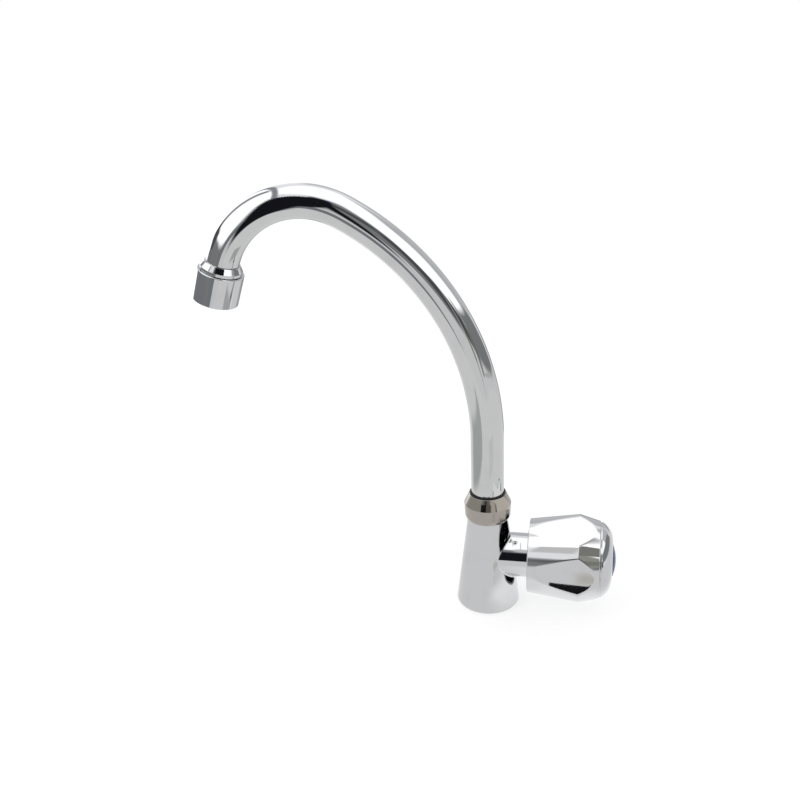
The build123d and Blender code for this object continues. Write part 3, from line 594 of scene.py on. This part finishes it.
def turnedPiece(name, shape, line, body, slot, replaced):
    # Point = line(height) + radius * (cos t * side + sin t * across); its normal turns the same way.
    # An outline that starts and ends on the axis gets a fan of triangles at each pole.
    corners, around = shape["corners"], shape["around"]
    outline, slope = roundOutline(corners, shape["rounds"], spacing=shape.get("spacing", 1.5))
    solid = corners[0][0] == 0
    if solid:
        keep = outline[:, 0] > 1e-6
        outline, slope = outline[keep], slope[keep]
    centre, along, side, across = line(outline[:, 1])
    t = np.linspace(0, 2 * pi, around, endpoint=False)
    spoke = np.cos(t)[:, None] * side[:, None] + np.sin(t)[:, None] * across[:, None]
    points = (centre[:, None] + outline[:, :1, None] * spoke).reshape(-1, 3)
    normals = (slope[:, :1, None] * spoke + slope[:, 1:, None] * along[:, None]).reshape(-1, 3)
    faces = gridFaces(len(outline), around, closedRows=not solid)
    if solid:
        poles, poleAlong, _, _ = line(np.array([corners[0][1], corners[-1][1]], float))
        faces = np.vstack([faces, poleFans(around, len(points))])
        points = np.vstack([points, poles])
        normals = np.vstack([normals, poleAlong * np.array([[-1.0], [1.0]])])
    return surfaceObject(name, points, normals, faces, body, slot, replaced)


column = straightLine((0, 0, 0), (0, 0, 1), (1, 0, 0))

# Union nut: a belly below, a crease, and a cone closing to the mouth
nut = dict(
    corners=[
        (11.0, 60.6), (13.3, 60.6), (14.0, 62.4), (14.4, 70.5), (11.3, 77.2),
        (10.75, 77.2), (10.75, 75.2), (10.15, 75.2), (10.15, 74.0), (11.0, 74.0),
    ],
    rounds=[0.1, 0.25, 1.0, 0.18, 0.22, 0.1, 0.05, 0.1, 0.1, 0.1],
    around=192,
)
turnedPiece("unionNut", nut, column, "tap_body", "nickel_nut", ["union_nut"])

# Wiper ring: a soft lip round the tube
wiper = dict(
    corners=[(10.05, 75.2), (10.7, 75.2), (10.7, 78.2), (10.05, 78.2)],
    rounds=[0.05, 0.05, 0.28, 0.12],
    around=160,
)
turnedPiece("wiperRing", wiper, column, "tap_body", "black_rubber", ["wiper_ring"])

# Spout tube: riser, long bend, short bend and a straight end
spout = dict(
    radius=9.99, wall=1.0, edge=0.15, around=112,
    start=73.4, riser=114.6,  # heights of the tube's lower end and of the first bend
    longBend=154.0, longTurn=61.4, shortBend=52.0, wholeTurn=162.5, straight=11.0,
)


def spoutLine(height):
    # The heading grows evenly along each bend; a point is the bend's middle plus its radius
    # towards the heading's normal, and straight ends carry on along the heading.
    longBend, shortBend, start = spout["longBend"], spout["shortBend"], spout["start"]
    longTurn, wholeTurn = radians(spout["longTurn"]), radians(spout["wholeTurn"])
    riser = spout["riser"] - start
    longRun = longBend * longTurn
    shortRun = shortBend * (wholeTurn - longTurn)
    inLong = np.clip(height - riser, 0, longRun)
    inShort = np.clip(height - riser - longRun, 0, shortRun)
    past = np.maximum(height - riser - longRun - shortRun, 0)
    heading = inLong / longBend + inShort / shortBend
    first, later = np.minimum(heading, longTurn), np.maximum(heading, longTurn)
    x = -longBend * (1 - np.cos(first)) - shortBend * (cos(longTurn) - np.cos(later))
    z = start + np.minimum(height, riser) + longBend * np.sin(first)
    z = z + shortBend * (np.sin(later) - sin(longTurn))
    along = np.stack([-np.sin(heading), 0 * heading, np.cos(heading)], 1)
    side = np.stack([np.cos(heading), 0 * heading, np.sin(heading)], 1)
    centre = np.stack([x, 0 * x, z], 1) + past[:, None] * along
    across = np.stack([0 * x, 0 * x + 1, 0 * x], 1)
    return centre, along, side, across


def buildSpout():
    run = spout["riser"] - spout["start"] + spout["longBend"] * radians(spout["longTurn"])
    run += spout["shortBend"] * radians(spout["wholeTurn"] - spout["longTurn"]) + spout["straight"]
    outer, inner = spout["radius"], spout["radius"] - spout["wall"]
    wall = dict(
        corners=[(inner, 0), (outer, 0), (outer, run), (inner, run)],
        rounds=spout["edge"],
        around=spout["around"],
    )
    turnedPiece("spoutTube", wall, spoutLine, "spout", "chrome_tube", ["spout_tube"])


buildSpout()

# Outlet collar and aerator housing, turned on the tube's tilted end
outletEnd = dict(tilt=radians(17.5), start=(-154.69, 0, 219.93))
outlet = straightLine(
    outletEnd["start"],
    (-sin(outletEnd["tilt"]), 0, -cos(outletEnd["tilt"])),
    (cos(outletEnd["tilt"]), 0, -sin(outletEnd["tilt"])),
)
collar = dict(
    corners=[
        (9.0, 13.0), (9.0, 11.02), (10.02, 11.02), (10.02, 0.0), (10.7, 0.0),
        (12.7, 3.2), (12.7, 5.2), (11.95, 5.2), (11.95, 13.0),
    ],
    rounds=[0.1, 0.1, 0.05, 0.05, 0.15, 0.3, 0.15, 0.05, 0.1],
    around=160,
)
turnedPiece("outletCollar", collar, outlet, "spout", "chrome_body", ["outlet_collar"])
aerator = dict(
    corners=[(12.0, 5.4), (14.1, 5.4), (13.8, 24.4), (11.2, 24.4), (11.2, 22.5), (12.0, 22.5)],
    rounds=[0.15, 0.45, 0.4, 0.3, 0.1, 0.1],
    around=192,
)
turnedPiece("aeratorCup", aerator, outlet, "spout", "chrome_body", ["aerator_housing"])

# Knob: a turned double cone with five flats, hollow behind, with a hub in the hollow
knob = dict(
    axisHeight=33.8,
    corners=[
        (20.7, 25.7), (23.0, 25.7), (27.5, 56.4), (23.9, 69.2), (23.2, 69.2), (23.2, 70.0),
        (23.5, 70.0), (19.81, 76.71), (9.9, 76.7), (9.9, 74.7), (4.6, 74.7), (4.6, 52.8),
        (8.02, 52.8), (8.02, 40.8), (10.6, 40.8), (10.6, 70.1), (17.0, 70.1), (22.09, 56.4),
    ],
    rounds=[0.4, 0.5, 0.4, 0.8, 0.12, 0.12, 0.12, 12.5, 0.25, 0.15, 0.2, 0.1, 0.1, 0.2, 0.3, 0.6, 0.8, 2.0],
    steps=8, spacing=0.8,
    flats=5, flatMiddle=(56.4, 24.391), flatTilt=2.0, firstFlat=3.5,  # (x, radius), degrees, degrees
    edgeBlend=0.12, edgeHalf=0.5, leastHalf=4,  # mm, then degrees
    knots=(0, 0.5, 0.62, 1),  # u at the flat's middle, its end, its edge's end and the sector's end
    columns=[(-1, -0.62, 6), (-0.62, -0.5, 4), (-0.5, 0.5, 16), (0.5, 0.62, 4), (0.62, 1, 6)],
)
knobLine = straightLine((0, 0, knob["axisHeight"]), (1, 0, 0), (0, -1, 0))


def knobSurface():
    # Radius = soft minimum of the turned outline and the nearest flat, whose radius is its distance
    # from the axis over the cosine of the angle to its middle. Columns run along the flats' edges:
    # that angle is share(u) times the flat's half width plus extra(u), straight between the knots.
    outline, slope = roundOutline(knob["corners"], knob["rounds"], knob["steps"], knob["spacing"])
    r, x = outline[:, :1], outline[:, 1:]
    flatX, flatR = knob["flatMiddle"]
    tilt = radians(knob["flatTilt"])
    sector = pi / knob["flats"]
    distance = flatR + (x - flatX) * np.tan(tilt)
    width = np.maximum(np.arccos(np.clip(distance / r, -1, 1)), radians(knob["leastHalf"]))
    u = np.concatenate([np.linspace(low, high, count + 1)[:-1] for low, high, count in knob["columns"]])
    edge = radians(knob["edgeHalf"])
    share = np.interp(abs(u), knob["knots"], [0, 1, 1, 0])
    extra = np.interp(abs(u), knob["knots"], [0, -edge, edge, sector])
    offAxis = np.sign(u) * (share * width + extra)
    flatRadius = distance / np.cos(offAxis)
    blend = knob["edgeBlend"]
    flatShare = 1 / (1 + np.exp(np.clip((flatRadius - r) / blend, -60, 60)))
    radius = np.minimum(r, flatRadius) - blend * np.log1p(np.exp(-abs(r - flatRadius) / blend))
    middle = radians(knob["firstFlat"]) + 2 * sector * np.arange(knob["flats"])
    t = (middle[None, :, None] + offAxis[:, None, :]).reshape(len(r), -1)
    radius, flatShare = (np.tile(v, (1, knob["flats"]))[..., None] for v in (radius, flatShare))
    centre, along, side, across = (v[:, None] for v in knobLine(outline[:, 1]))
    upward = -across  # the line's own third axis points down here
    spoke = np.cos(t)[..., None] * side + np.sin(t)[..., None] * upward
    m = np.repeat(middle, len(u))[None, :, None]
    flatSpoke = np.cos(m) * side + np.sin(m) * upward
    turned = slope[:, :1, None] * spoke + slope[:, 1:, None] * along
    flat = cos(tilt) * flatSpoke - sin(tilt) * along
    normals = turned * (1 - flatShare) + flat * flatShare
    normals /= np.linalg.norm(normals, axis=-1)[..., None]
    points, faces = centre + radius * spoke, gridFaces(*t.shape)
    return surfaceObject("knobShell", points, normals, faces, "handle", "chrome_knob", ["knob_shell"])


knobSurface()

# Ribs between the hub and the wall: slabs with round edges, one between each two flats
rib = dict(
    half=(4.3, 0.8, 9.0), round=0.3,  # half sizes outwards, across and along the knob's axis
    middle=(13.9, 61.1),  # (radius, x)
    poleGap=0.06, steps=5,
)


def ribSurface():
    # Directions (cos u cos v, sin u cos v, sin v) of a ball; each point is its corner's ball centre
    # (the half size less the round, with the direction's signs) plus the round times the direction.
    half, edge = np.array(rib["half"]), rib["round"]
    quarter = np.linspace(rib["poleGap"], pi / 2 - rib["poleGap"], rib["steps"])
    u = (quarter + np.arange(4)[:, None] * pi / 2).ravel()
    v = np.concatenate([quarter - pi / 2, quarter])[:, None]
    way = np.stack([np.cos(u) * np.cos(v), np.sin(u) * np.cos(v), np.sin(v) + 0 * u], -1)
    slab = np.sign(way) * (half - edge) + edge * way
    slab = np.vstack([slab.reshape(-1, 3), [[0, 0, -half[2]], [0, 0, half[2]]]])
    way = np.vstack([way.reshape(-1, 3), [[0, 0, -1], [0, 0, 1]]])
    one = np.vstack([gridFaces(len(v), len(u), closedRows=False), poleFans(len(u), len(v) * len(u))])
    turn = radians(knob["firstFlat"]) + (np.arange(knob["flats"]) + 0.5) * 2 * pi / knob["flats"]
    spoke = np.stack([0 * turn, -np.cos(turn), np.sin(turn)], 1)
    across = np.stack([0 * turn, np.sin(turn), np.cos(turn)], 1)
    axes = np.stack([spoke, across, np.tile([1.0, 0, 0], (len(turn), 1))], 1)
    ribR, ribX = rib["middle"]
    middle = (ribX, 0, knob["axisHeight"]) + ribR * spoke
    points = middle[:, None] + np.einsum("pk,nkj->npj", slab, axes)
    normals = np.einsum("pk,nkj->npj", way, axes)
    faces = (one + np.arange(len(turn))[:, None, None] * len(slab)).reshape(-1, 4)
    return surfaceObject("knobRibs", points, normals, faces, "handle", "chrome_knob", ["knob_shell"])


ribSurface()

# Index cap: a shallow crown on a plug
cap = dict(
    corners=[
        (0, 74.7), (3.5, 74.7), (3.5, 71.1), (4.5, 71.1), (4.5, 74.7),
        (9.7, 74.7), (9.7, 77.0), (5.01, 78.79), (0, 78.79),
    ],
    rounds=[0, 0.2, 0.2, 0.2, 0.2, 0.15, 0.2, 24.0, 0],
    around=160, spacing=0.9,
)
turnedPiece("indexCap", cap, knobLine, "handle", "blue_index", ["index_cap"])
